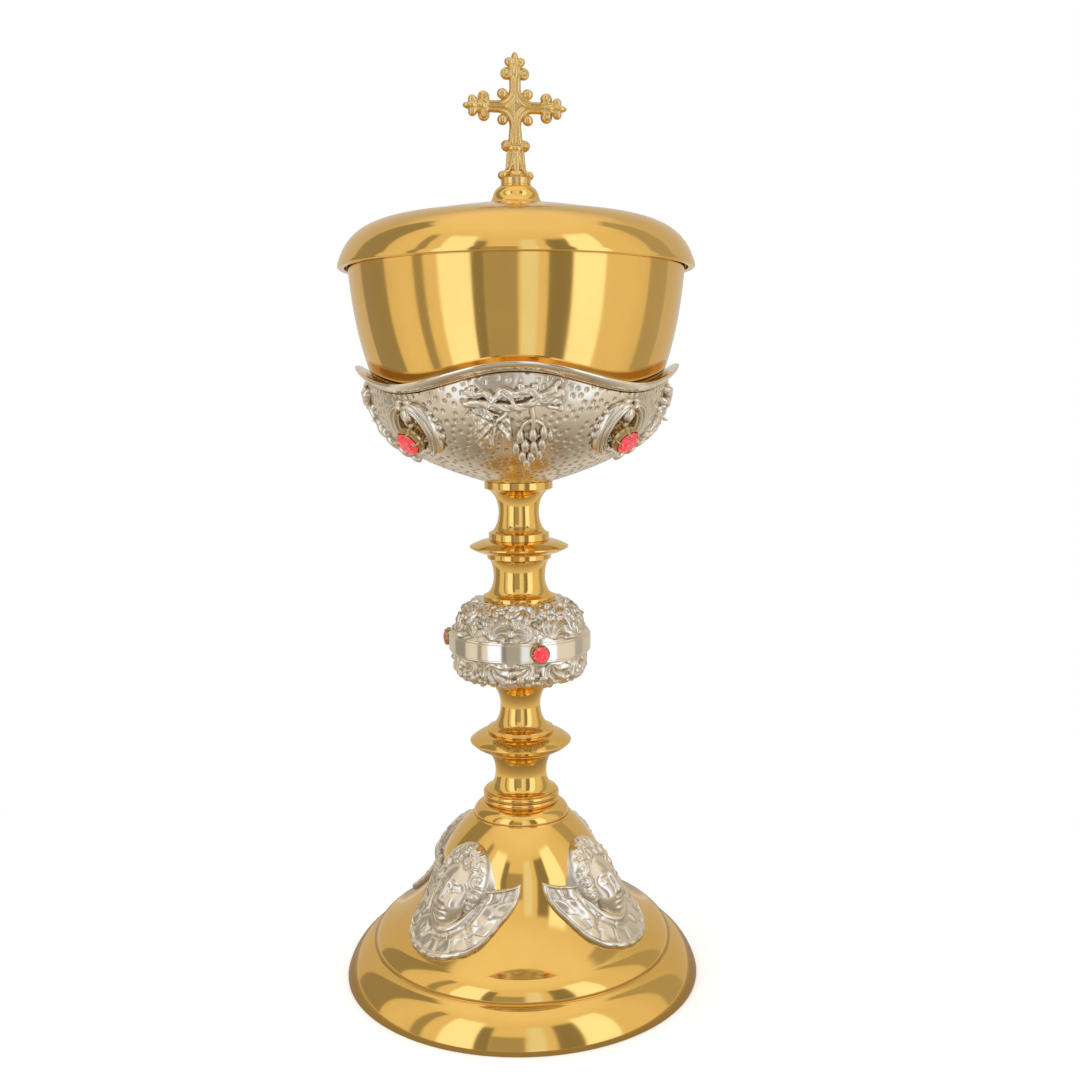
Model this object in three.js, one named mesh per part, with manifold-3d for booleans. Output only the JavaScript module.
import * as THREE from 'three';
import { mergeVertices } from 'three/addons/utils/BufferGeometryUtils.js';
import Module from 'manifold-3d';

// A footed altar ciborium: a bell foot, a turned stem with a knop, a bowl in a false cup,
// and a domed lid with a cross. Millimetres, +Z up, front towards -Y, the table at height 0.

const wasm = await Module();
wasm.setup();

// Fits and facets

const seatGap = 0.3;
const rodClearance = 0.3;
const lidClearance = 0.4;
const largeFacets = 32;
const stemFacets = 16;
const knopFacets = 24;
const curveSteps = 3;
const cupSteps = 4;
const smallSteps = 2;
const tubeSides = 4;
const mergeDistance = 1e-4;
const leastMiter = 0.5;

// Foot

const footRadius = 61;
const footLipHeight = 1.2;
const footLipWidth = 2;
const footWall = 1.2;
const footBulge = { width: 9.1, height: 10.8 };
const footBead = { width: 4.3, height: 6.2 };
const footSweepHeight = 23.8;
const footWaistRadius = 27.3;
const footShoulderHeight = 14;
const footNeckRadius = 16.9;
const footNeckEdge = 0.4;

// Stem, from the foot up to the cup. Each curve has two handles, as shares of the way to its end.

const cove = [0.6, 0.06, 1, 0.5];
const flare = [0, 0.5, 0.4, 0.94];
const collar = {
  height: 8.1, baseRadius: 16.4, edge: 0.6, neckRadius: 12.4, beadRadius: 13.1, beadRise: 0.3,
  dome: 3.6,
};
const lowerSpool = {
  height: 14.5, base: 12.3, baseRing: 0.5, waist: 8.85, waistAt: 6.6, topRing: 0.4, top: 12.7,
};
const lowerDisc = { height: 6, base: 12.7, rim: 17.4, edge: 0.5, top: 12.3 };
const midSpool = {
  height: 19, base: 11.3, baseRing: 1.6, waist: 6.87, waistAt: 9.2, topRing: 0.6, top: 12.9,
};
const knopRadius = 24.2;
const knopBandHeight = 6.6;
const knopLedge = { width: 0.6, height: 0.7 };
const knopLowerHeight = 9.8;
const knopUpperHeight = 10.6;
const knopShellInset = 2.4;
const knopNeckRadius = 13.4;
const foliageWaves = { depth: 0.9, across: 10, slant: 5, margin: 0.05, neck: 1 };
const knopStones = 3;
const knopTurn = 15;
const upperSpool = {
  height: 16, base: 12.3, baseRing: 1.6, waist: 8.72, waistAt: 8, topRing: 1.6, top: 10.8,
};
const upperDisc = { height: 4.6, base: 10.9, rim: 16.7, edge: 0.5, top: 10.6 };
const topSpool = {
  height: 19.8, base: 10.2, baseRing: 2.4, waist: 6.8, waistAt: 9.6, topRing: 2.4, top: 11.5,
};

// Tie rod that clamps foot, stem and cup together

const rodRadius = 3;
const rodFacets = 12;
const rodTail = 3;
const washer = { radius: 8, thickness: 1.5 };
const nut = { acrossCorners: 11.5, thickness: 5 };
const nutSides = 6;

// Cup: hammered calyx with a wavy rim, and the bowl inside it

const calyxWall = 1;
const calyxHeight = 32.8;
const calyxRadius = 50.3;
const calyxSeatRadius = 11.4;
const rimHeight = 2.8;
const rimFlare = 3.2;
const rimThickness = 1.1;
const waveHeight = 3.2;
const waveDepth = 12;
const ornamentsRound = 4;
const crestTurn = 0;
const valleyTurn = 180 / ornamentsRound;
const boss = { radius: 9, height: 4.6 };
const bowlWall = 1.2;
const bowlInCalyx = 2;
const bowlFlare = 8;
const bowlWallHeight = 39.3;

// Lid and its cross

const lidOverhang = 3.1;
const lidLip = { width: 2.2, drop: 2.6, thickness: 2.1, chamfer: 0.4 };
const lidWall = 1.2;
const lidShoulderInset = 20.4;
const lidShoulderHeight = 15;
const lidCrownHeight = 4.85;
const lidSeatLedge = 1.4;
const lidTurn = 12;
const ring = { thickness: 1.1, skirt: 7.5, flange: 1.2 };
const socket = { height: 6.2, base: 9.6, shoulder: 7.4, shoulderShare: 0.55, top: 5.2, edge: 0.4 };
const studRadius = 2;
const studTail = 1.5;
const studFacets = 10;
const voluteFacets = 6;
const lidNut = { acrossCorners: 8, thickness: 3 };
const cross = {
  stem: 24.8, arm: 17.2, width: 4.4, depth: 2.6, star: 4.6, ball: 1.6, ballAt: 4.1, volute: 1.75,
  voluteAt: 10.8, voluteSide: 3, lobe: 1.9, lobeAt: 14.3, lobeSide: 1.5, tip: 1.4, swell: 0.5, pinch: 0.5,
};
const crossFoot = {
  height: 2.2, radius: 4.9, waist: 3.3, volute: 1.6, voluteAt: 12, voluteSide: 3.3,
  nubAt: 3.4, nub: 1.4, nubSide: 4.4, facets: 8,
};

// Winged heads on the foot, in a frame with X across, Y up the slope and Z out. Wings: bulge, sag
// and belly are the handles of their outer edge, as shares of the half span and of the drop.

const headTurns = [-44, 57, 143, 230];
const headDrop = 5.5;
const wing = {
  half: 18.8, tipDrop: 1, bottomRise: 1.2, bulge: 1.14, sag: 0.46, belly: 0.98,
  hollow: 4.2, inner: 9, thickness: 1.5,
};
const head = { width: 12.6, height: 19, depth: 6, lift: 1.6, centre: -1 };
const nose = { width: 2.4, height: 5.6, depth: 1.9 };
const hair = { width: 16, height: 23, depth: 5, centre: 4, lift: 1, curl: 3.1, curls: 6, fromAngle: -25 };
const chinFold = { radius: 1.1, width: 13.6, top: -4, bottom: -13, lift: 1.4, steps: 5 };

// Grape sprays at the crests of the cup, wheat wreaths and stones at its valleys

const spray = {
  width: 28, drop: 5.7, branch: 1.15, wave: 1.3, sway: 0.5, lift: 1.5, stalk: 0.7, stalkBend: 0.7,
  points: 8, steps: 4,
  leafStalk: { x: -2, toX: -6.6, rise: 2 }, bunchStalk: { x: 3 },
};
const leaf = { size: 13.5, thickness: 1.2, x: -7.6, drop: 13.3, lobes: 5, notch: 0.18, squash: 0.85 };
const bunch = { x: 4.4, drop: 13.5, grape: 1.6, rows: [3, 3, 2], pitch: 3.1, rowPitch: 2.8, lift: 1.6 };
const wreathDrop = 14.5;
const stoneDrop = 15.1;
const wreath = {
  radius: 7, rib: 0.8, ribs: 3, spacing: 1.7, lift: 2, root: 2, opening: 8, bud: 2.2, facets: 10,
};
const cupStone = { radius: 3.4, crown: 1.3, pavilion: 2.3 };
const cupSetting = { base: 2.7, height: 5.2, root: 1, claws: 4, claw: 0.9, clawRise: 1 };
const knopStone = { radius: 2.3, crown: 0.9, pavilion: 1 };
const knopBezel = { wall: 0.5, height: 1.7, root: 1 };
const stoneFacets = 8;
const tableShare = 0.6;
const seatShare = 0.4;
const pavilionShare = 0.9;

// Heights that follow from the lengths above

const footCrease = footLipHeight + footBulge.height;
const footBeadTop = footCrease + footBead.height;
const footWaist = footBeadTop + footSweepHeight;
const footShoulder = footWaist + footShoulderHeight;
const footHeight = footShoulder + footNeckEdge;
const wingTip = footWaist - wing.tipDrop;
const wingHollow = wingTip - wing.hollow;
const wingBottom = footBeadTop + wing.bottomRise;
const headAt = footWaist - headDrop;
const collarTop = footHeight + collar.height;
const lowerSpoolTop = collarTop + lowerSpool.height;
const lowerDiscTop = lowerSpoolTop + lowerDisc.height;
const midSpoolTop = lowerDiscTop + midSpool.height;
const knopBandBase = midSpoolTop + knopLowerHeight;
const knopBandTop = knopBandBase + knopBandHeight;
const knopTop = knopBandTop + knopUpperHeight;
const knopStoneAt = (knopBandBase + knopBandTop) / 2;
const knopGirdle = seatGap + knopBezel.height;
const upperSpoolTop = knopTop + upperSpool.height;
const upperDiscTop = upperSpoolTop + upperDisc.height;
const cupBase = upperDiscTop + topSpool.height;
const rimBase = cupBase + calyxHeight;
const calyxTop = rimBase - seatGap;
const branchAt = calyxTop - spray.drop;
const leafAt = calyxTop - leaf.drop;
const bunchAt = calyxTop - bunch.drop;
const wreathAt = calyxTop - wreathDrop;
const stoneAt = calyxTop - stoneDrop;
const bowlBase = cupBase + calyxWall + boss.height;
const bowlBelly = rimBase;
const bowlMouth = bowlBelly + bowlWallHeight;
const lidBottom = bowlMouth - lidLip.drop;
const lidShoulder = lidBottom + lidLip.thickness / 2 + lidShoulderHeight;
const lidTop = lidShoulder + lidCrownHeight;
const socketTop = lidTop + socket.height;
const crossing = socketTop + cross.stem;
const footCeiling = footHeight - footWall;
const washerBase = footCeiling - washer.thickness;
const nutBase = washerBase - nut.thickness;
const lidCeiling = lidTop - lidWall;
const lidNutBase = lidCeiling - lidNut.thickness;

// Radii that follow

const bowlBellyRadius = calyxRadius - calyxWall - bowlInCalyx;
const bowlMouthRadius = bowlBellyRadius + bowlFlare;
const lidRadius = bowlMouthRadius + lidOverhang;
const lidShoulderRadius = lidRadius - lidShoulderInset;
const lidSeatRadius = socket.base + lidSeatLedge;
const rodBore = rodRadius + rodClearance;
const studBore = studRadius + rodClearance;

// Finishes

const gilt = new THREE.MeshStandardMaterial({ color: 0xe0a94a, roughness: 0.18, metalness: 1 });
const silver = new THREE.MeshStandardMaterial({ color: 0xc4b8a4, roughness: 0.35, metalness: 1 });
const steel = new THREE.MeshStandardMaterial({ color: 0x9a9a98, roughness: 0.4, metalness: 1 });
const ruby = new THREE.MeshStandardMaterial({ color: 0xd23a44, roughness: 0.08, metalness: 0 });

// Outline helpers: a path runs up the outside of a section, radius first and height second

function outline(radius, height) {
  return new THREE.Path().moveTo(radius, height);
}

// Draws a curve to the end point, its two handles given as shares of the way there.
function flow(path, radius, height, [r1, z1, r2, z2]) {
  const from = path.currentPoint.clone();
  const dr = radius - from.x;
  const dz = height - from.y;
  return path.bezierCurveTo(
    from.x + dr * r1, from.y + dz * z1, from.x + dr * r2, from.y + dz * z2, radius, height,
  );
}

// Moves each point of an outline sideways into the material, or outwards where the amount is negative.
function offset(points, amount) {
  return points.map((point, i) => {
    const before = points[Math.max(i - 1, 0)];
    const after = points[Math.min(i + 1, points.length - 1)];
    const a = point.clone().sub(i ? before : points[0]).normalize();
    const b = after.clone().sub(i < points.length - 1 ? point : before).normalize();
    if (!i) a.copy(b);
    const side = new THREE.Vector2(-a.y - b.y, a.x + b.x).normalize();
    const reach = amount / Math.max(side.dot(new THREE.Vector2(-b.y, b.x)), leastMiter);
    return point.clone().addScaledVector(side, reach);
  });
}

function radiusAt(points, height) {
  const i = Math.max(points.findIndex((point) => point.y >= height), 1);
  const low = points[i - 1];
  const high = points[i];
  return low.x + (high.x - low.x) * (height - low.y) / (high.y - low.y);
}

// Solid helpers

function revolve(points, facets) {
  return new THREE.LatheGeometry(points, facets).rotateX(Math.PI / 2);
}

function closed(points) {
  return [...points, points[0].clone()];
}

// A body of revolution with a straight bore, from the outline of its outside.
function turned(points, bore, facets) {
  const low = points[0].y;
  const high = points[points.length - 1].y;
  return revolve(closed([new THREE.Vector2(bore, low), ...points, new THREE.Vector2(bore, high)]), facets);
}

function solid(geometry) {
  const bare = geometry.clone();
  bare.deleteAttribute('normal');
  bare.deleteAttribute('uv');
  const merged = mergeVertices(bare, mergeDistance);
  const corners = merged.index.array;
  const faces = [];
  for (let i = 0; i < corners.length; i += 3) {
    const [a, b, c] = corners.slice(i, i + 3);
    if (a !== b && b !== c && c !== a) faces.push(a, b, c);
  }
  const place = merged.attributes.position;
  if (signedVolume(place, faces) < 0) faces.reverse();
  return new wasm.Manifold(new wasm.Mesh({
    numProp: 3, vertProperties: new Float32Array(place.array), triVerts: new Uint32Array(faces),
  }));
}

function signedVolume(place, faces) {
  const [a, b, c] = [new THREE.Vector3(), new THREE.Vector3(), new THREE.Vector3()];
  let volume = 0;
  for (let i = 0; i < faces.length; i += 3) {
    a.fromBufferAttribute(place, faces[i]);
    b.fromBufferAttribute(place, faces[i + 1]);
    c.fromBufferAttribute(place, faces[i + 2]);
    volume += a.dot(b.cross(c));
  }
  return volume;
}

function surface(body) {
  const mesh = body.getMesh();
  const geometry = new THREE.BufferGeometry();
  geometry.setAttribute('position', new THREE.BufferAttribute(mesh.vertProperties, 3));
  geometry.setIndex(new THREE.BufferAttribute(mesh.triVerts, 1));
  return geometry;
}

function join(geometries) {
  return geometries.map(solid).reduce((whole, piece) => whole.add(piece));
}

function tube(curve, radius, steps) {
  const section = new THREE.Shape().absarc(0, 0, radius, 0, 2 * Math.PI);
  return new THREE.ExtrudeGeometry(section, {
    extrudePath: curve, steps, curveSegments: tubeSides / 2, bevelEnabled: false,
  });
}

// A small round boss with few faces, such as a curl, a grape or a bud.
function bead(radius, at) {
  return new THREE.IcosahedronGeometry(radius).translate(at.x, at.y, at.z);
}

// Extrudes a shape drawn in the front view, X across and Z up, back from the front plane.
function frontCut(shape, depth, steps) {
  return new THREE.ExtrudeGeometry(shape, { depth, bevelEnabled: false, curveSegments: steps })
    .rotateX(Math.PI / 2);
}

// A frame on a revolved surface at the front: X across, Y up the slope, Z straight out.
function seat(points, height, lift = 0) {
  const step = 0.5;
  const low = radiusAt(points, height - step);
  const high = radiusAt(points, height + step);
  const rise = new THREE.Vector2(high - low, 2 * step).normalize();
  const up = new THREE.Vector3(0, -rise.x, rise.y);
  const out = new THREE.Vector3(0, -rise.y, -rise.x);
  return new THREE.Matrix4()
    .makeBasis(new THREE.Vector3(1, 0, 0), up, out)
    .setPosition(new THREE.Vector3(0, -radiusAt(points, height), height).addScaledVector(out, lift));
}

// The point of a revolved surface that shows at x and height in the front view, lifted off it.
function pointOn(points, x, height, lift) {
  const frame = seat(points, height, lift);
  const middle = new THREE.Vector3().setFromMatrixPosition(frame);
  const radius = Math.abs(middle.y);
  return new THREE.Vector3(x, -Math.sqrt(Math.max(radius * radius - x * x, 0)), middle.z);
}

// The part of a revolved body within a gap of the outline, for cutting what is set on it.
function core(points, gap, facets) {
  const outside = offset(points, -gap);
  const low = new THREE.Vector2(0, outside[0].y);
  const high = new THREE.Vector2(0, outside[outside.length - 1].y);
  return revolve([low, ...outside, high], facets);
}

// A band that follows a revolved surface, from just under it to a height above it.
function skin(points, thickness, facets) {
  return revolve(closed([...offset(points, -thickness), ...offset(points, thickness).reverse()]), facets);
}

// Foot

function footOutline(steps) {
  const path = outline(footRadius, 0).lineTo(footRadius, footLipHeight);
  const crease = footRadius - footBulge.width;
  flow(path, crease, footCrease, [0.11, 0.4, 0.55, 0.93]);
  flow(path, crease - footBead.width, footBeadTop, [-0.02, 0.32, 0.44, 0.74]);
  flow(path, footWaistRadius, footWaist, [0.37, 0.16, 0.89, 0.58]);
  flow(path, footNeckRadius, footShoulder, [0.09, 0.21, 0.41, 0.61]);
  return path.lineTo(footNeckRadius, footHeight).lineTo(rodBore, footHeight).getPoints(steps);
}

function footShell() {
  const outer = footOutline(curveSteps);
  const inner = offset(footOutline(curveSteps - 1), footWall).slice(2).reverse();
  const lip = [
    new THREE.Vector2(footRadius - footLipWidth, footLipHeight + footWall / 2),
    new THREE.Vector2(footRadius - footLipWidth, 0),
  ];
  return revolve(closed([...outer, ...inner, ...lip]), largeFacets);
}

// Winged head: a face in a ring of curls over two wings that meet under the chin

function wingShape() {
  const { half, inner } = wing;
  const wide = half * wing.bulge;
  const low = wingTip - (wingTip - wingBottom) * wing.sag;
  const belly = half * wing.belly;
  const shape = new THREE.Shape().moveTo(-half, wingTip);
  shape.bezierCurveTo(-wide, low, -belly, wingBottom, 0, wingBottom);
  shape.bezierCurveTo(belly, wingBottom, wide, low, half, wingTip);
  shape.quadraticCurveTo(inner, wingTip, inner, wingHollow);
  shape.lineTo(-inner, wingHollow);
  shape.quadraticCurveTo(-inner, wingTip, -half, wingTip);
  return shape;
}

function egg(width, height, depth, y, z, facets) {
  return new THREE.SphereGeometry(1, facets, facets - 2)
    .scale(width / 2, height / 2, depth)
    .translate(0, y, z);
}

function faceParts() {
  const front = head.lift + head.depth;
  return [
    egg(head.width, head.height, head.depth, head.centre, head.lift, 8),
    egg(nose.width, nose.height, nose.depth, head.centre, front - nose.depth / 4, 4),
  ];
}

// A cap with curls along its edge, from one temple over the crown to the other.
function hairParts() {
  const parts = [egg(hair.width, hair.height, hair.depth, hair.centre, hair.lift, 6)];
  const from = THREE.MathUtils.degToRad(hair.fromAngle);
  const reach = hair.height / 2 - hair.curl / 2;
  for (let i = 0; i < hair.curls; i += 1) {
    const angle = from + (Math.PI - 2 * from) * i / (hair.curls - 1);
    const x = hair.width / 2 * Math.cos(angle);
    const y = hair.centre + reach * Math.sin(angle);
    parts.push(bead(hair.curl, new THREE.Vector3(x, y, hair.lift)));
  }
  return parts;
}

// The rolled fold that runs from ear to ear below the chin.
function chinFoldPart() {
  const side = chinFold.width / 2;
  const curve = new THREE.CubicBezierCurve3(
    new THREE.Vector3(-side, chinFold.top, chinFold.lift),
    new THREE.Vector3(-side, chinFold.bottom, chinFold.lift),
    new THREE.Vector3(side, chinFold.bottom, chinFold.lift),
    new THREE.Vector3(side, chinFold.top, chinFold.lift),
  );
  return tube(curve, chinFold.radius, chinFold.steps);
}

function wingedHead() {
  const foot = footOutline(curveSteps);
  const cut = solid(frontCut(wingShape(), footRadius, curveSteps));
  const wings = cut.intersect(solid(skin(foot, wing.thickness, largeFacets)));
  const frame = seat(foot, headAt);
  const parts = [...faceParts(), ...hairParts(), chinFoldPart()];
  const relief = join(parts.map((part) => part.applyMatrix4(frame)));
  return surface(wings.add(relief).subtract(solid(core(foot, seatGap, largeFacets))));
}

// Turned stem pieces

function spool(piece, base) {
  const top = base + piece.height;
  const path = outline(piece.base, base).lineTo(piece.base, base + piece.baseRing);
  flow(path, piece.waist, base + piece.waistAt, cove);
  flow(path, piece.top, top - piece.topRing, flare);
  return turned(path.lineTo(piece.top, top).getPoints(curveSteps), rodBore, stemFacets);
}

function disc(piece, base) {
  const middle = base + piece.height / 2;
  const path = outline(piece.base, base);
  flow(path, piece.rim, middle - piece.edge / 2, [0.45, 0.1, 0.75, 0.6]);
  path.lineTo(piece.rim, middle + piece.edge / 2);
  flow(path, piece.top, base + piece.height, [0.25, 0.4, 0.55, 0.9]);
  return turned(path.getPoints(curveSteps), rodBore, stemFacets);
}

function footCollar() {
  const path = outline(collar.baseRadius, footHeight).lineTo(collar.baseRadius, footHeight + collar.edge);
  flow(path, collar.neckRadius, footHeight + collar.edge + collar.dome, [0.05, 0.5, 0.6, 0.95]);
  const bead = (collar.height - collar.edge - collar.dome) / 2;
  for (let i = 0; i < 2; i += 1) {
    const from = path.currentPoint.y;
    path.lineTo(collar.beadRadius, from + bead * collar.beadRise);
    path.lineTo(collar.beadRadius, from + bead * (1 - collar.beadRise));
    path.lineTo(collar.neckRadius, from + bead);
  }
  return turned(path.getPoints(curveSteps), rodBore, stemFacets);
}

// Knop: two relief shells and a plain band with stones

function knopHalf(edge, neck, tuck) {
  const wide = knopRadius - knopShellInset;
  const path = outline(knopNeckRadius, neck);
  flow(path, wide, neck + (edge - neck) * tuck, [0.45, 0.02, 1, 0.45]);
  path.lineTo(knopRadius - knopLedge.width, edge);
  return path.getPoints(curveSteps);
}

// Foliage swells round a shell of the knop in slanting waves, which end short of its edges.
function foliage(geometry, low, high) {
  const place = geometry.attributes.position;
  const { depth, across, slant, margin, neck } = foliageWaves;
  for (let i = 0; i < place.count; i += 1) {
    const [x, y, z] = [place.getX(i), place.getY(i), place.getZ(i)];
    const radius = Math.hypot(x, y);
    const share = THREE.MathUtils.clamp((z - low) / (high - low), 0, 1);
    if (radius < knopNeckRadius + neck || share < margin || share > 1 - margin) continue;
    const wave = Math.cos(across * Math.atan2(y, x) + slant * share);
    const swell = depth * Math.sin(Math.PI * share) * wave;
    place.setXY(i, x * (1 + swell / radius), y * (1 + swell / radius));
  }
  return geometry;
}

function knopLower() {
  const points = knopHalf(knopBandBase, midSpoolTop, 0.5);
  return foliage(turned(points, rodBore, largeFacets), midSpoolTop, knopBandBase);
}

function knopUpper() {
  const points = knopHalf(knopBandTop, knopTop, 0.62).reverse();
  return foliage(turned(points, rodBore, largeFacets), knopBandTop, knopTop);
}

function knopBandOutline() {
  const ledge = knopRadius - knopLedge.width;
  return outline(ledge, knopBandBase)
    .lineTo(ledge, knopBandBase + knopLedge.height)
    .lineTo(knopRadius, knopBandBase + knopLedge.height)
    .lineTo(knopRadius, knopBandTop - knopLedge.height)
    .lineTo(ledge, knopBandTop - knopLedge.height)
    .lineTo(ledge, knopBandTop)
    .getPoints();
}

function roundFrame(radius, height) {
  return new THREE.Matrix4()
    .makeBasis(new THREE.Vector3(1, 0, 0), new THREE.Vector3(0, 0, 1), new THREE.Vector3(0, -1, 0))
    .setPosition(0, -radius, height);
}

// A cut stone on its own axis: pavilion below the girdle, crown and table above.
function stone(size, girdle) {
  const table = size.radius * tableShare;
  return revolve([
    new THREE.Vector2(0, girdle - size.pavilion),
    new THREE.Vector2(size.radius, girdle),
    new THREE.Vector2(table, girdle + size.crown),
    new THREE.Vector2(0, girdle + size.crown),
  ], stoneFacets);
}

function knopBezelPart() {
  const inner = knopStone.radius + seatGap;
  const outer = inner + knopBezel.wall;
  const top = seatGap + knopBezel.height;
  const bottom = top - knopStone.pavilion * pavilionShare;
  const cup = revolve(closed([
    new THREE.Vector2(inner * seatShare, -knopBezel.root),
    new THREE.Vector2(outer, -knopBezel.root),
    new THREE.Vector2(outer, top),
    new THREE.Vector2(inner, top),
    new THREE.Vector2(inner * seatShare, bottom),
  ]), stoneFacets);
  const band = core(knopBandOutline(), seatGap, knopFacets);
  return surface(solid(cup.applyMatrix4(roundFrame(knopRadius, knopStoneAt))).subtract(solid(band)));
}

function knopStonePart() {
  return stone(knopStone, knopGirdle + seatGap).applyMatrix4(roundFrame(knopRadius, knopStoneAt));
}

// Calyx and its wavy rim

function calyxOutline(steps) {
  const path = outline(rodBore, cupBase).lineTo(calyxSeatRadius, cupBase);
  flow(path, calyxRadius, calyxTop, [0.46, 0.18, 0.9, 0.34]);
  return path.getPoints(steps);
}

// Lifts the top of the cup at its crests and lowers it in its valleys.
function wavy(geometry) {
  const place = geometry.attributes.position;
  for (let i = 0; i < place.count; i += 1) {
    const turn = Math.atan2(place.getX(i), -place.getY(i));
    const share = THREE.MathUtils.clamp((place.getZ(i) - calyxTop + waveDepth) / waveDepth, 0, 1);
    const rise = waveHeight * Math.cos(ornamentsRound * turn) * share * share;
    place.setZ(i, place.getZ(i) + rise);
  }
  return geometry;
}

function calyxShell() {
  const outer = calyxOutline(cupSteps);
  const inner = offset(calyxOutline(curveSteps), calyxWall).reverse();
  inner[0].y = calyxTop;
  return wavy(revolve(closed([...outer, ...inner]), largeFacets));
}

function calyxRim() {
  const inside = calyxRadius - calyxWall;
  const lip = calyxRadius + rimFlare;
  const top = rimBase + rimHeight;
  const path = outline(calyxRadius, rimBase);
  flow(path, lip, top - rimThickness / 2, [0.35, 0.1, 0.8, 0.5]);
  path.lineTo(lip, top).lineTo(lip - rimThickness, top);
  path.lineTo(inside, rimBase + rimThickness);
  const points = [new THREE.Vector2(inside, rimBase), ...path.getPoints(smallSteps)];
  return wavy(revolve(closed(points), largeFacets));
}

// Grape spray: a twisted branch over a leaf and a bunch of grapes

function leafShape() {
  const shape = new THREE.Shape();
  const steps = leaf.lobes * 2;
  for (let i = 0; i <= steps; i += 1) {
    const angle = 2 * Math.PI * i / steps;
    const radius = leaf.size / 2 * (1 - leaf.notch + leaf.notch * Math.cos(leaf.lobes * angle));
    const x = leaf.x + radius * Math.sin(angle);
    const z = leafAt - radius * leaf.squash * Math.cos(angle);
    if (i) shape.lineTo(x, z);
    else shape.moveTo(x, z);
  }
  return shape;
}

// The backing that the grapes are cast on, wide at the upper rows and narrow at the last.
function bunchShape() {
  const wide = Math.max(...bunch.rows) * bunch.pitch / 2;
  const last = (bunch.rows.length - 1) * bunch.rowPitch;
  return new THREE.Shape()
    .moveTo(bunch.x - bunch.grape, bunchAt - last)
    .lineTo(bunch.x + bunch.grape, bunchAt - last)
    .lineTo(bunch.x + wide, bunchAt - last / 2)
    .lineTo(bunch.x + bunch.pitch, bunchAt)
    .lineTo(bunch.x - bunch.pitch, bunchAt)
    .lineTo(bunch.x - wide, bunchAt - last / 2);
}

function branch(cup, phase) {
  const points = [];
  for (let i = 0; i <= spray.points; i += 1) {
    const share = i / spray.points;
    const x = spray.width * (share - 0.5);
    const swing = Math.PI * 2 * share + phase;
    const z = branchAt + spray.wave * Math.sin(swing);
    points.push(pointOn(cup, x, z, spray.lift + spray.sway * Math.cos(swing)));
  }
  return tube(new THREE.CatmullRomCurve3(points), spray.branch, spray.steps);
}

// A stalk that leaves the branch sideways and bends down to what hangs from it.
function stalk(cup, fromX, toX, toZ) {
  const turnX = fromX + (toX - fromX) * spray.stalkBend;
  const curve = new THREE.QuadraticBezierCurve3(
    pointOn(cup, fromX, branchAt, spray.lift),
    pointOn(cup, turnX, (branchAt + toZ) / 2, spray.lift),
    pointOn(cup, toX, toZ, spray.lift),
  );
  return tube(curve, spray.stalk, smallSteps);
}

function grapes(cup) {
  const parts = [];
  bunch.rows.forEach((count, row) => {
    const z = bunchAt - row * bunch.rowPitch;
    for (let i = 0; i < count; i += 1) {
      const x = bunch.x + (i - (count - 1) / 2) * bunch.pitch;
      parts.push(bead(bunch.grape, pointOn(cup, x, z, bunch.lift)));
    }
  });
  return parts;
}

// The cup with its gap, turned so that the ornament to be seated on it is at the front.
function calyxCore(turn) {
  const above = calyxOutline(cupSteps).slice(1);
  return solid(wavy(core(above, seatGap, largeFacets)).rotateZ(-THREE.MathUtils.degToRad(turn)));
}

function grapeSpray() {
  const cup = calyxOutline(cupSteps);
  const above = cup.slice(1);
  const outlines = join([frontCut(leafShape(), lidRadius, 1), frontCut(bunchShape(), lidRadius, 1)]);
  const plate = outlines.intersect(solid(skin(above, leaf.thickness, largeFacets)));
  const stems = [
    branch(cup, 0), branch(cup, Math.PI),
    stalk(cup, spray.leafStalk.x, spray.leafStalk.toX, leafAt + spray.leafStalk.rise),
    stalk(cup, spray.bunchStalk.x, bunch.x, bunchAt),
  ];
  const relief = join([...stems, ...grapes(cup)]);
  return surface(relief.add(plate).subtract(calyxCore(crestTurn)));
}

// Wheat wreath: parallel ribs bent round the stone, a bud above and below

// The middle rib stands highest.
function ribHeight(rib) {
  return wreath.lift - Math.abs(rib - (wreath.ribs + 1) / 2) * wreath.rib / 2;
}

// The ribs as one ridged band, turned about the axis of the stone and open at the bottom.
function ribBand() {
  const width = wreath.spacing;
  const section = [new THREE.Vector2(wreath.radius - wreath.ribs * width / 2, -wreath.root)];
  section.push(new THREE.Vector2(wreath.radius + wreath.ribs * width / 2, -wreath.root));
  for (let i = wreath.ribs; i > 0; i -= 1) {
    const edge = wreath.radius + (i - wreath.ribs / 2) * width;
    section.push(new THREE.Vector2(edge, ribHeight(i) - wreath.rib));
    section.push(new THREE.Vector2(edge - width / 2, ribHeight(i)));
  }
  section.push(new THREE.Vector2(wreath.radius - wreath.ribs * width / 2, ribHeight(1) - wreath.rib));
  return revolve(closed(section), wreath.facets);
}

function wheatWreath() {
  const frame = seat(calyxOutline(cupSteps), wreathAt);
  const outer = wreath.radius + wreath.ribs * wreath.spacing / 2;
  const gap = new THREE.BoxGeometry(wreath.opening, outer, outer * 2)
    .translate(0, -outer / 2 - wreath.bud, 0)
    .applyMatrix4(frame);
  const bud = bead(wreath.bud, new THREE.Vector3(0, outer + wreath.bud / 4, 0)).applyMatrix4(frame);
  const band = solid(ribBand().applyMatrix4(frame)).subtract(solid(gap));
  return surface(band.add(solid(bud)).subtract(calyxCore(valleyTurn)));
}

// Claw setting with its stone, square to the side of the cup

function claw(inner, turn) {
  const size = cupSetting.claw;
  const rise = cupSetting.clawRise + size;
  return new THREE.BoxGeometry(size, size, rise)
    .translate(inner + size / 2, 0, cupSetting.height + cupSetting.clawRise - rise / 2)
    .rotateZ(turn);
}

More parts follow.
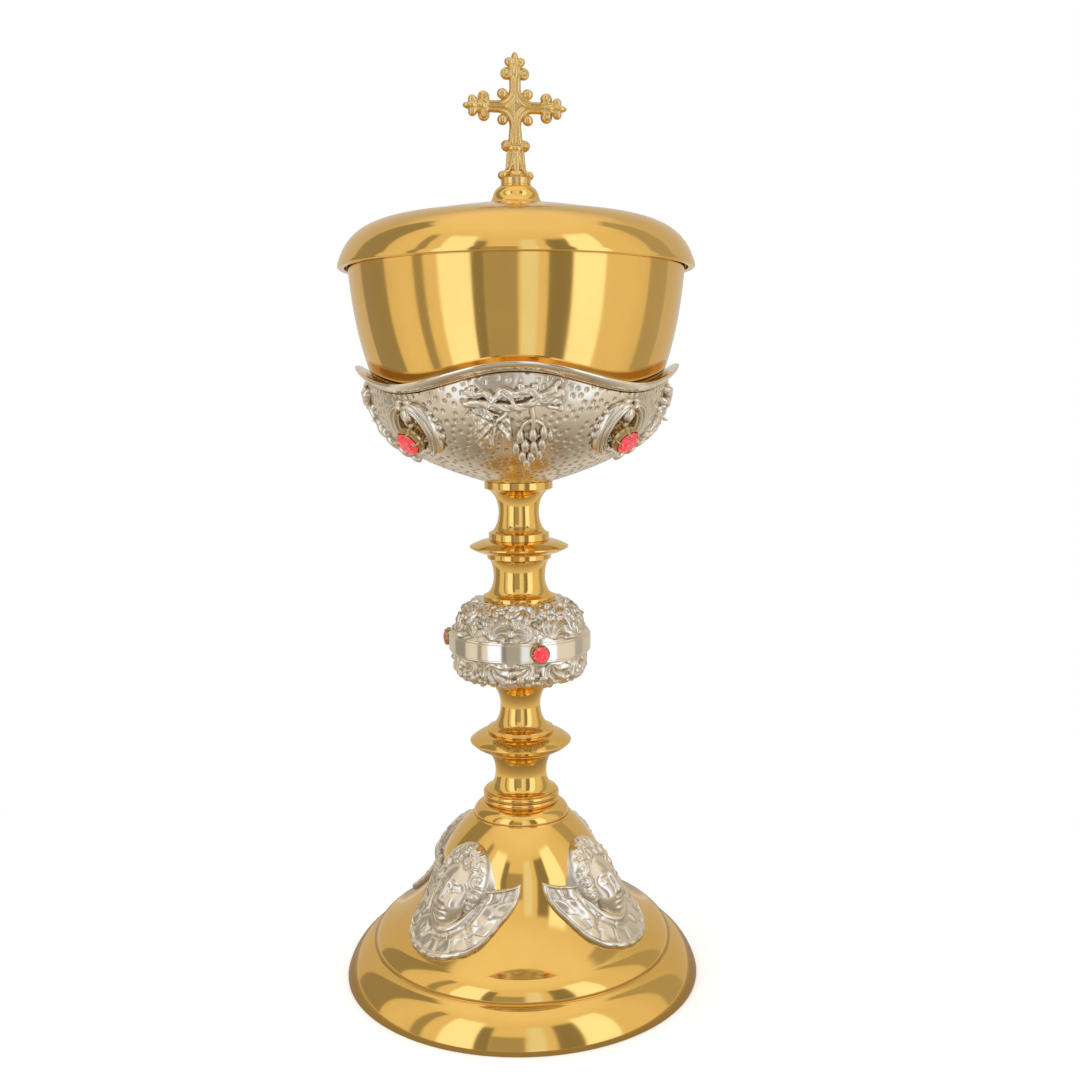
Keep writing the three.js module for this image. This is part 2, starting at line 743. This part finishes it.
function setting() {
  const inner = cupStone.radius + seatGap;
  const bottom = cupSetting.height - cupStone.pavilion * pavilionShare;
  const parts = [revolve(closed([
    new THREE.Vector2(inner * seatShare, -cupSetting.root),
    new THREE.Vector2(cupSetting.base, -cupSetting.root),
    new THREE.Vector2(inner + cupSetting.claw, cupSetting.height),
    new THREE.Vector2(inner, cupSetting.height),
    new THREE.Vector2(inner * seatShare, bottom),
  ]), cupSetting.claws * 2)];
  for (let i = 0; i < cupSetting.claws; i += 1) {
    parts.push(claw(inner, 2 * Math.PI * i / cupSetting.claws));
  }
  const frame = seat(calyxOutline(cupSteps), stoneAt);
  const whole = join(parts.map((part) => part.applyMatrix4(frame)));
  return surface(whole.subtract(calyxCore(valleyTurn)));
}

function cupStonePart() {
  const frame = seat(calyxOutline(cupSteps), stoneAt);
  return stone(cupStone, cupSetting.height + seatGap).applyMatrix4(frame);
}

// Bowl and the boss that it is brazed to

function bowlOutline(steps) {
  const path = outline(0, bowlBase).lineTo(boss.radius, bowlBase);
  flow(path, bowlBellyRadius, bowlBelly, [0.47, 0.05, 0.86, 0.48]);
  flow(path, bowlMouthRadius, bowlMouth, [0.58, 0.3, 0.85, 0.6]);
  return path.getPoints(steps);
}

function bowl() {
  const inner = offset(bowlOutline(curveSteps - 1), bowlWall).reverse();
  inner[0].y = bowlMouth;
  inner[inner.length - 1].x = 0;
  return revolve([...bowlOutline(curveSteps), ...inner], largeFacets);
}

function bowlInside(height) {
  return radiusAt(offset(bowlOutline(curveSteps), bowlWall), height);
}

// Lid: spun dome with a thick lip, and the ring that centres it in the bowl

function lidOutline(steps) {
  const path = outline(lidRadius - lidLip.chamfer, lidBottom).lineTo(lidRadius, lidBottom + lidLip.chamfer);
  path.lineTo(lidRadius, lidBottom + lidLip.thickness / 2);
  flow(path, lidShoulderRadius, lidShoulder, [0.1, 0.5, 0.32, 0.9]);
  flow(path, lidSeatRadius, lidTop, [0.3, 0.36, 0.67, 0.73]);
  return path.lineTo(studBore, lidTop).getPoints(steps);
}

function lidShell() {
  const shelf = lidBottom + lidLip.thickness + lidLip.chamfer;
  const inner = offset(lidOutline(curveSteps - 1), lidWall).filter((point) => point.y > shelf).reverse();
  const lip = [
    new THREE.Vector2(lidRadius - lidWall, shelf),
    new THREE.Vector2(lidRadius - lidLip.width, lidBottom + lidLip.thickness),
    new THREE.Vector2(lidRadius - lidLip.width, lidBottom),
  ];
  return revolve(closed([...lidOutline(curveSteps), ...inner, ...lip]), largeFacets);
}

function lidRing() {
  const skirtTop = bowlInside(bowlMouth) - lidClearance;
  const skirtFoot = bowlInside(bowlMouth - ring.skirt) - lidClearance;
  const flange = lidRadius - lidLip.width - seatGap;
  return revolve(closed([
    new THREE.Vector2(skirtFoot - ring.thickness, bowlMouth - ring.skirt),
    new THREE.Vector2(skirtFoot, bowlMouth - ring.skirt),
    new THREE.Vector2(skirtTop, bowlMouth),
    new THREE.Vector2(flange, bowlMouth),
    new THREE.Vector2(flange, bowlMouth + ring.flange),
    new THREE.Vector2(skirtTop - ring.thickness, bowlMouth + ring.flange),
  ]), largeFacets);
}

function crossSocket() {
  const path = outline(socket.base, lidTop);
  flow(path, socket.shoulder, lidTop + socket.height * socket.shoulderShare, [0.5, 0.2, 0.9, 0.6]);
  flow(path, socket.top, socketTop - socket.edge, [0.2, 0.5, 0.6, 0.95]);
  return turned(path.lineTo(socket.top, socketTop).getPoints(curveSteps), studBore, stemFacets);
}

// Cross: a flat plate whose arms sweep into each other, with balls, volutes and buds

function standing(geometry) {
  return geometry.rotateX(Math.PI / 2);
}

function crossPlate() {
  const half = cross.width / 2;
  const sweep = half + cross.star;
  const pinch = half + cross.pinch;
  const low = -cross.stem + crossFoot.height;
  const shape = new THREE.Shape().moveTo(-half, cross.lobeAt).lineTo(-half, sweep);
  shape.quadraticCurveTo(-pinch, pinch, -sweep, half);
  shape.lineTo(-cross.lobeAt, half).lineTo(-cross.lobeAt, -half).lineTo(-sweep, -half);
  shape.quadraticCurveTo(-pinch, -pinch, -half, -sweep);
  shape.lineTo(-crossFoot.waist, low).lineTo(crossFoot.waist, low).lineTo(half, -sweep);
  shape.quadraticCurveTo(pinch, -pinch, sweep, -half);
  shape.lineTo(cross.lobeAt, -half).lineTo(cross.lobeAt, half).lineTo(sweep, half);
  shape.quadraticCurveTo(pinch, pinch, half, sweep).lineTo(half, cross.lobeAt);
  const { depth } = cross;
  return new THREE.ExtrudeGeometry(shape, { depth, bevelEnabled: false, curveSegments: smallSteps })
    .translate(0, 0, -depth / 2);
}

function volute(radius, x, y) {
  const depth = cross.depth + cross.swell;
  return new THREE.CylinderGeometry(radius, radius, depth, voluteFacets)
    .rotateX(Math.PI / 2)
    .translate(x, y, 0);
}

function crossBud() {
  const rise = cross.arm - cross.lobeAt + cross.lobe / 2;
  const parts = [new THREE.ConeGeometry(cross.tip, rise, 4).translate(0, cross.arm - rise / 2, 0)];
  for (const side of [-1, 1]) {
    parts.push(volute(cross.volute, side * cross.voluteSide, cross.voluteAt));
    parts.push(new THREE.OctahedronGeometry(cross.lobe).translate(side * cross.lobeSide, cross.lobeAt, 0));
  }
  return parts;
}

function studLength() {
  return socket.height + lidWall + lidNut.thickness + studTail;
}

function crossBase() {
  const low = -cross.stem;
  const edge = low + crossFoot.height;
  const volutes = low + crossFoot.voluteAt;
  const path = outline(0, low).lineTo(crossFoot.radius, low).lineTo(crossFoot.radius, edge);
  flow(path, crossFoot.waist, low + crossFoot.nubAt + crossFoot.nub, [0.6, 0.1, 1, 0.6]);
  path.lineTo(cross.depth / 2, volutes).lineTo(0, volutes);
  const overlap = crossFoot.height / 2;
  const stud = new THREE.CylinderGeometry(studRadius, studRadius, studLength() + overlap, studFacets)
    .translate(0, low + (overlap - studLength()) / 2, 0);
  const parts = [new THREE.LatheGeometry(path.getPoints(smallSteps), crossFoot.facets), stud];
  for (const side of [-1, 1]) {
    const nub = new THREE.Vector3(side * crossFoot.nubSide, low + crossFoot.nubAt, 0);
    parts.push(volute(crossFoot.volute, side * crossFoot.voluteSide, volutes));
    parts.push(bead(crossFoot.nub, nub));
  }
  return parts;
}

function crossFinial() {
  const parts = [crossPlate(), ...crossBase()];
  for (const turn of [0, 1, 3]) {
    parts.push(...crossBud().map((part) => part.rotateZ(turn * Math.PI / 2)));
  }
  for (const [x, y] of [[-1, -1], [-1, 1], [1, -1], [1, 1]]) {
    parts.push(bead(cross.ball, new THREE.Vector3(x * cross.ballAt, y * cross.ballAt, 0)));
  }
  return surface(join(parts.map((part) => standing(part).translate(0, 0, crossing))));
}

// Rod, washers and nuts

function cylinder(radius, low, high, facets) {
  return standing(new THREE.CylinderGeometry(radius, radius, high - low, facets))
    .translate(0, 0, (low + high) / 2);
}

function ringAt(radius, bore, low, high, facets) {
  return turned([new THREE.Vector2(radius, low), new THREE.Vector2(radius, high)], bore, facets);
}

function hexNut(acrossCorners, bore, low, high) {
  const radius = acrossCorners / 2;
  const corners = Array.from({ length: nutSides }, (_, i) => {
    const angle = 2 * Math.PI * i / nutSides;
    return new THREE.Vector2(radius * Math.cos(angle), radius * Math.sin(angle));
  });
  const shape = new THREE.Shape(corners);
  shape.holes.push(new THREE.Path().absarc(0, 0, bore, 0, 2 * Math.PI));
  const depth = high - low;
  return new THREE.ExtrudeGeometry(shape, { depth, bevelEnabled: false, curveSegments: rodFacets / 2 })
    .translate(0, 0, low);
}

// Assembly

const ciborium = new THREE.Group();

function add(parent, name, geometry, material, turn = 0) {
  const mesh = new THREE.Mesh(geometry, material);
  mesh.name = name;
  mesh.rotation.z = THREE.MathUtils.degToRad(turn);
  parent.add(mesh);
}

function around(parent, name, geometry, material, turns) {
  turns.forEach((turn, i) => add(parent, `${name}_${i + 1}`, geometry.clone(), material, turn));
}

// Turns of a number of equal ornaments round the axis, in degrees.
function evenTurns(count, first) {
  return Array.from({ length: count }, (_, i) => first + i * 360 / count);
}

add(ciborium, 'foot_shell', footShell(), gilt);
around(ciborium, 'cherub_head', wingedHead(), silver, headTurns);

add(ciborium, 'tie_rod', cylinder(rodRadius, nutBase - rodTail, bowlBase - seatGap, rodFacets), steel);
add(ciborium, 'foot_washer', ringAt(washer.radius, rodBore, washerBase, footCeiling, stemFacets), steel);
add(ciborium, 'foot_nut', hexNut(nut.acrossCorners, rodBore, nutBase, washerBase), steel);
add(ciborium, 'foot_collar', footCollar(), gilt);
add(ciborium, 'lower_spool', spool(lowerSpool, collarTop), gilt);
add(ciborium, 'lower_disc', disc(lowerDisc, lowerSpoolTop), gilt);
add(ciborium, 'mid_spool', spool(midSpool, lowerDiscTop), gilt);
add(ciborium, 'upper_spool', spool(upperSpool, knopTop), gilt);
add(ciborium, 'upper_disc', disc(upperDisc, upperSpoolTop), gilt);
add(ciborium, 'top_spool', spool(topSpool, upperDiscTop), gilt);

const stoneTurns = evenTurns(knopStones, knopTurn);
add(ciborium, 'knop_lower_shell', knopLower(), silver, knopTurn);
add(ciborium, 'knop_band', turned(knopBandOutline(), rodBore, knopFacets), silver, knopTurn);
add(ciborium, 'knop_upper_shell', knopUpper(), silver, knopTurn);
around(ciborium, 'knop_bezel', knopBezelPart(), gilt, stoneTurns);
around(ciborium, 'knop_stone', knopStonePart(), ruby, stoneTurns);

const crestTurns = evenTurns(ornamentsRound, crestTurn);
const valleyTurns = evenTurns(ornamentsRound, valleyTurn);
add(ciborium, 'calyx', calyxShell(), silver);
add(ciborium, 'calyx_rim', calyxRim(), silver);
around(ciborium, 'grape_spray', grapeSpray(), silver, crestTurns);
around(ciborium, 'wheat_wreath', wheatWreath(), silver, valleyTurns);
around(ciborium, 'cup_setting', setting(), gilt, valleyTurns);
around(ciborium, 'cup_stone', cupStonePart(), ruby, valleyTurns);
add(ciborium, 'bowl_boss', ringAt(boss.radius, rodBore, cupBase + calyxWall, bowlBase, stemFacets), gilt);
add(ciborium, 'bowl', bowl(), gilt);

const lid = new THREE.Group();
lid.rotation.z = THREE.MathUtils.degToRad(lidTurn);
add(lid, 'lid_shell', lidShell(), gilt);
add(lid, 'lid_ring', lidRing(), gilt);
add(lid, 'cross_socket', crossSocket(), gilt);
add(lid, 'lid_nut', hexNut(lidNut.acrossCorners, studBore, lidNutBase, lidCeiling), steel);
add(lid, 'cross', crossFinial(), gilt);
ciborium.add(lid);

export default ciborium;
